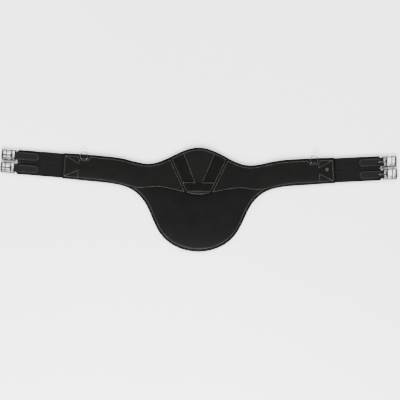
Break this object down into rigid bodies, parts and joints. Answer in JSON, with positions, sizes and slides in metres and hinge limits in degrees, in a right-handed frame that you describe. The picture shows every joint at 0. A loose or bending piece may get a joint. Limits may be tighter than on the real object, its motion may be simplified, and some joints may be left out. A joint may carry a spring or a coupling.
{
  "type": "saddle girth",
  "caption": "Long padded leather girth with a rounded belly guard, side-by-side elastic webs at each end and roller buckles for a saddle's girth straps.",
  "frame": {"origin": "middle of the outline on the resting plane, with the girth lying on its lining and its outer face up", "axes": "+X along the girth towards its right-hand buckles as seen from above, +Y towards the horse's front legs, +Z out of the outer face"},
  "size_m": [1.2194, 0.319, 0.0231],
  "materials": {
    "guard_leather": "smooth black harness leather, low sheen",
    "strap_leather": "smooth black harness leather, low sheen",
    "chape_leather": "smooth black harness leather, low sheen",
    "edge_leather": "rolled black binding leather",
    "lining_leather": "soft black lining leather",
    "pad_foam": "closed-cell foam",
    "core_webbing": "flat nylon web",
    "tab_webbing": "black nylon web",
    "elastic_webbing": "black woven elastic",
    "buckle_steel": "satin stainless steel",
    "ring_steel": "satin stainless steel"
  },
  "bodies": {
    "girth": {"lining": "lining_leather", "front_edge_binding": "edge_leather", "rear_edge_binding": "edge_leather", "guard_foam": "pad_foam", "strap_foam": "pad_foam", "core_web": "core_webbing", "guard_leather": "guard_leather", "left_strap_leather": "strap_leather", "right_strap_leather": "strap_leather", "centre_panel": "strap_leather", "centre_yoke": "strap_leather", "left_seam_welt": "edge_leather", "right_seam_welt": "edge_leather", "left_ring_tab": "tab_webbing", "right_ring_tab": "tab_webbing", "left_front_elastic": "elastic_webbing", "left_rear_elastic": "elastic_webbing", "right_front_elastic": "elastic_webbing", "right_rear_elastic": "elastic_webbing"},
    "left_front_chape": {"left_front_chape": "chape_leather"},
    "left_front_buckle": {"left_front_buckle_frame": "buckle_steel"},
    "left_front_roller": {"left_front_roller": "buckle_steel"},
    "left_front_tongue": {"left_front_tongue": "buckle_steel"},
    "left_rear_chape": {"left_rear_chape": "chape_leather"},
    "left_rear_buckle": {"left_rear_buckle_frame": "buckle_steel"},
    "left_rear_roller": {"left_rear_roller": "buckle_steel"},
    "left_rear_tongue": {"left_rear_tongue": "buckle_steel"},
    "left_ring": {"left_ring": "ring_steel"},
    "right_front_chape": {"right_front_chape": "chape_leather"},
    "right_front_buckle": {"right_front_buckle_frame": "buckle_steel"},
    "right_front_roller": {"right_front_roller": "buckle_steel"},
    "right_front_tongue": {"right_front_tongue": "buckle_steel"},
    "right_rear_chape": {"right_rear_chape": "chape_leather"},
    "right_rear_buckle": {"right_rear_buckle_frame": "buckle_steel"},
    "right_rear_roller": {"right_rear_roller": "buckle_steel"},
    "right_rear_tongue": {"right_rear_tongue": "buckle_steel"},
    "right_ring": {"right_ring": "ring_steel"}
  },
  "joints": [
    {"name": "left_front_elastic_stretch", "type": "slide", "parent": "girth", "child": "left_front_chape", "axis": [-0.9979, 0.0645, 0], "range_m": [0, 0.03], "deforming": ["left_front_elastic"]},
    {"name": "left_front_buckle_hinge", "type": "hinge", "parent": "left_front_chape", "child": "left_front_buckle", "pos_m": [-0.56276, 0.1255, 0.0044], "axis": [0.0645, 0.9979, 0], "range_deg": [-1.8, 85]},
    {"name": "left_front_roller_spin", "type": "hinge", "parent": "left_front_buckle", "child": "left_front_roller", "pos_m": [-0.60337, 0.12812, 0.0044], "axis": [0.0645, 0.9979, 0], "continuous": true},
    {"name": "left_front_tongue_hinge", "type": "hinge", "parent": "left_front_buckle", "child": "left_front_tongue", "pos_m": [-0.57503, 0.12629, 0.0044], "axis": [-0.0645, -0.9979, 0], "range_deg": [-138, 0]},
    {"name": "left_rear_elastic_stretch", "type": "slide", "parent": "girth", "child": "left_rear_chape", "axis": [-0.9979, 0.0645, 0], "range_m": [0, 0.03], "deforming": ["left_rear_elastic"]},
    {"name": "left_rear_buckle_hinge", "type": "hinge", "parent": "left_rear_chape", "child": "left_rear_buckle", "pos_m": [-0.56522, 0.08738, 0.0044], "axis": [0.0645, 0.9979, 0], "range_deg": [-1.8, 85]},
    {"name": "left_rear_roller_spin", "type": "hinge", "parent": "left_rear_buckle", "child": "left_rear_roller", "pos_m": [-0.60584, 0.09, 0.0044], "axis": [0.0645, 0.9979, 0], "continuous": true},
    {"name": "left_rear_tongue_hinge", "type": "hinge", "parent": "left_rear_buckle", "child": "left_rear_tongue", "pos_m": [-0.5775, 0.08817, 0.0044], "axis": [-0.0645, -0.9979, 0], "range_deg": [-138, 0]},
    {"name": "left_ring_hinge", "type": "hinge", "parent": "girth", "child": "left_ring", "pos_m": [-0.35311, 0.11946, 0.0091], "axis": [0.9979, -0.0645, 0], "range_deg": [0, 140]},
    {"name": "right_front_elastic_stretch", "type": "slide", "parent": "girth", "child": "right_front_chape", "axis": [0.9979, 0.0645, 0], "range_m": [0, 0.03], "deforming": ["right_front_elastic"]},
    {"name": "right_front_buckle_hinge", "type": "hinge", "parent": "right_front_chape", "child": "right_front_buckle", "pos_m": [0.56276, 0.1255, 0.0044], "axis": [0.0645, -0.9979, 0], "range_deg": [-1.8, 25]},
    {"name": "right_front_roller_spin", "type": "hinge", "parent": "right_front_buckle", "child": "right_front_roller", "pos_m": [0.60337, 0.12812, 0.0044], "axis": [0.0645, -0.9979, 0], "continuous": true},
    {"name": "right_front_tongue_hinge", "type": "hinge", "parent": "right_front_buckle", "child": "right_front_tongue", "pos_m": [0.57503, 0.12629, 0.0044], "axis": [-0.0645, 0.9979, 0], "range_deg": [0, 138]},
    {"name": "right_rear_elastic_stretch", "type": "slide", "parent": "girth", "child": "right_rear_chape", "axis": [0.9979, 0.0645, 0], "range_m": [0, 0.03], "deforming": ["right_rear_elastic"]},
    {"name": "right_rear_buckle_hinge", "type": "hinge", "parent": "right_rear_chape", "child": "right_rear_buckle", "pos_m": [0.56522, 0.08738, 0.0044], "axis": [0.0645, -0.9979, 0], "range_deg": [-1.8, 25]},
    {"name": "right_rear_roller_spin", "type": "hinge", "parent": "right_rear_buckle", "child": "right_rear_roller", "pos_m": [0.60584, 0.09, 0.0044], "axis": [0.0645, -0.9979, 0], "continuous": true},
    {"name": "right_rear_tongue_hinge", "type": "hinge", "parent": "right_rear_buckle", "child": "right_rear_tongue", "pos_m": [0.5775, 0.08817, 0.0044], "axis": [-0.0645, 0.9979, 0], "range_deg": [0, 138]},
    {"name": "right_ring_hinge", "type": "hinge", "parent": "girth", "child": "right_ring", "pos_m": [0.35311, 0.11946, 0.0091], "axis": [0.9979, 0.0645, 0], "range_deg": [0, 140]}
  ]
}
